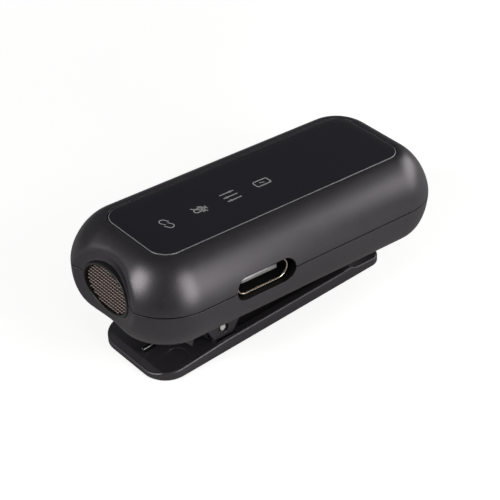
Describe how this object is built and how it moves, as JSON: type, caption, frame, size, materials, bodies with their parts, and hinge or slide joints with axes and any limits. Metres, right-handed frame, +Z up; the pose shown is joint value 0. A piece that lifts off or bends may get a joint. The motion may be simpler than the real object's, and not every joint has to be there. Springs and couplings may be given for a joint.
{
  "type": "lavalier microphone",
  "caption": "Clip-on wireless lavalier microphone: rounded two-shell housing with a glossy top panel, oval end grille, side charging port and sprung clip lever.",
  "frame": {"origin": "centre of the clip lever's flat underside, on which the microphone rests", "axes": "+X along the length towards the clip's jaw, -X towards the microphone end, +Z up out of the underside; the charging port faces -Y"},
  "size_m": [0.0536, 0.0241, 0.0207],
  "materials": {
    "case_plastic": "fine-textured charcoal plastic with a soft satin sheen",
    "clip_plastic": "dark grey moulded plastic, smoother on its inner face",
    "panel_gloss": "polished near-black inlay with a bright bevelled edge and pale printed pictograms",
    "foam": "open-cell foam and adhesive tape",
    "clear_plastic": "clear moulded light pipe",
    "lamp": "lamp with a yellow phosphor face",
    "board": "green solder mask",
    "steel": "plain steel",
    "chip_plastic": "black moulding compound",
    "ceramic": "off-white ceramic",
    "battery_foil": "laminated pouch foil",
    "port_metal": "plated steel, bright at its rim",
    "contact_gold": "gold-plated contacts",
    "trim_plastic": "smooth black trim",
    "mesh_metal": "woven wire mesh, taupe with a dark ground",
    "soft_rubber": "soft black rubber"
  },
  "bodies": {
    "clip": {"clip_lever": "clip_plastic", "torsion_spring": "steel"},
    "housing": {"lower_shell": "case_plastic", "upper_shell": "case_plastic", "top_panel": "panel_gloss", "panel_tape": "foam", "light_guide": "clear_plastic", "status_leds": "lamp", "circuit_board": "board", "board_screws": "steel", "rf_shield": "steel", "radio_chip": "chip_plastic", "audio_chip": "chip_plastic", "charge_chip": "chip_plastic", "antenna": "ceramic", "battery": "battery_foil", "battery_pad": "foam", "usb_shell": "port_metal", "usb_tongue": "chip_plastic", "usb_contacts": "contact_gold", "grille_ring": "trim_plastic", "mic_mesh": "mesh_metal", "wind_foam": "foam", "mic_boot": "soft_rubber", "mic_capsule": "steel", "tact_switch": "steel", "hinge_pin": "steel"},
    "button": {"power_button": "trim_plastic"}
  },
  "joints": [
    {"name": "clip_hinge", "type": "hinge", "parent": "clip", "child": "housing", "pos_m": [-0.00905, 0, 0.00375], "axis": [0, -1, 0], "range_deg": [0, 18], "stiffness_Nm_per_rad": 0.15, "springref_deg": -20.05, "deforming": ["torsion_spring"]},
    {"name": "button_press", "type": "slide", "parent": "housing", "child": "button", "axis": [0, -1, 0], "range_m": [0, 0.00025], "stiffness_N_per_m": 200, "springref_m": -0.0005}
  ]
}
